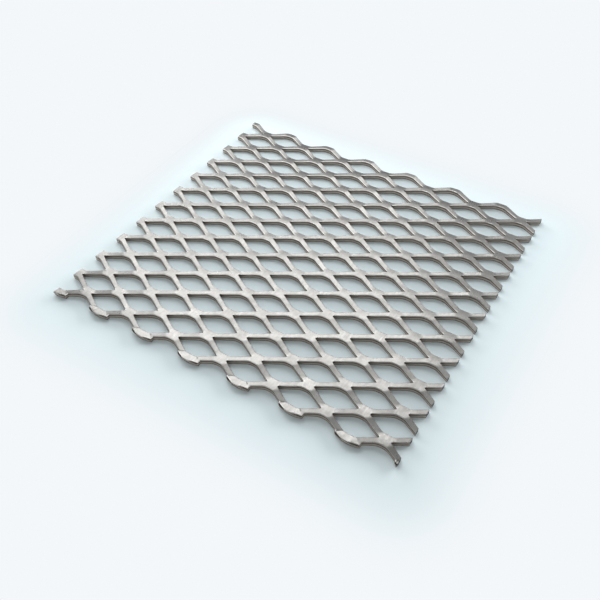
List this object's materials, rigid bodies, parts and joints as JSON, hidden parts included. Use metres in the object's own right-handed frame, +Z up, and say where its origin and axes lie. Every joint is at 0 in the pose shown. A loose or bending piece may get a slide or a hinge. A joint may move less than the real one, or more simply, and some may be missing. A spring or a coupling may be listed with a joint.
{
  "type": "expanded metal sheet",
  "caption": "Flat expanded steel sheet: staggered diamond openings between slit, stretched strands and their bonds, rolled flat.",
  "frame": {"origin": "middle of the underside of the sheet, on the floor it lies on", "axes": "+X along the long way of the diamonds, +Y along the short way, +Z up out of the sheet"},
  "size_m": [0.295, 0.2764, 0.0042],
  "materials": {
    "bare_steel": "bare mill steel, rolled flat, satin with bright sheared edges"
  },
  "bodies": {
    "root": {"expanded_sheet": "bare_steel"}
  },
  "joints": []
}
